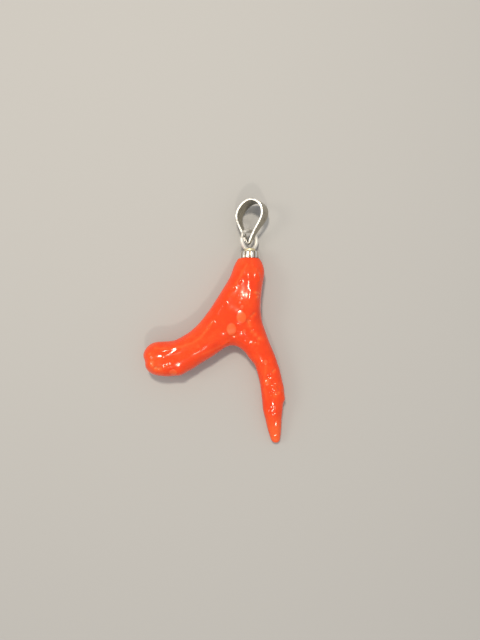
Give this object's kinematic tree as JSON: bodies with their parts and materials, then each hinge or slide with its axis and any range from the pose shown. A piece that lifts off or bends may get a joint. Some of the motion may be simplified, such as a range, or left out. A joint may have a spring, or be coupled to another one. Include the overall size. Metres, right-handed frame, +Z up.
{
  "type": "red coral branch pendant",
  "caption": "Forked, polished red coral branch mounted as a pendant, with a fluted silver end cap, a wire eye ring and a teardrop bail that swings in it.",
  "frame": {"origin": "middle of the pendant's bounding box, on the surface it lies on", "axes": "+Y along the pendant towards the bail, +Z up from the surface it lies on, +X to the right as seen from above"},
  "size_m": [0.0284, 0.049, 0.0066],
  "materials": {
    "coral": "polished",
    "silver": "polished"
  },
  "bodies": {
    "pendant": {"trunk": "coral", "broad_branch": "coral", "slender_branch": "coral", "end_cap": "silver", "eye_ring": "silver"},
    "bail": {"bail": "silver"}
  },
  "joints": [
    {"name": "bail_swing", "type": "hinge", "parent": "pendant", "child": "bail", "pos_m": [0.00697, 0.01847, 0.0025], "axis": [0, 0, 1], "range_deg": [-40, 40]}
  ]
}
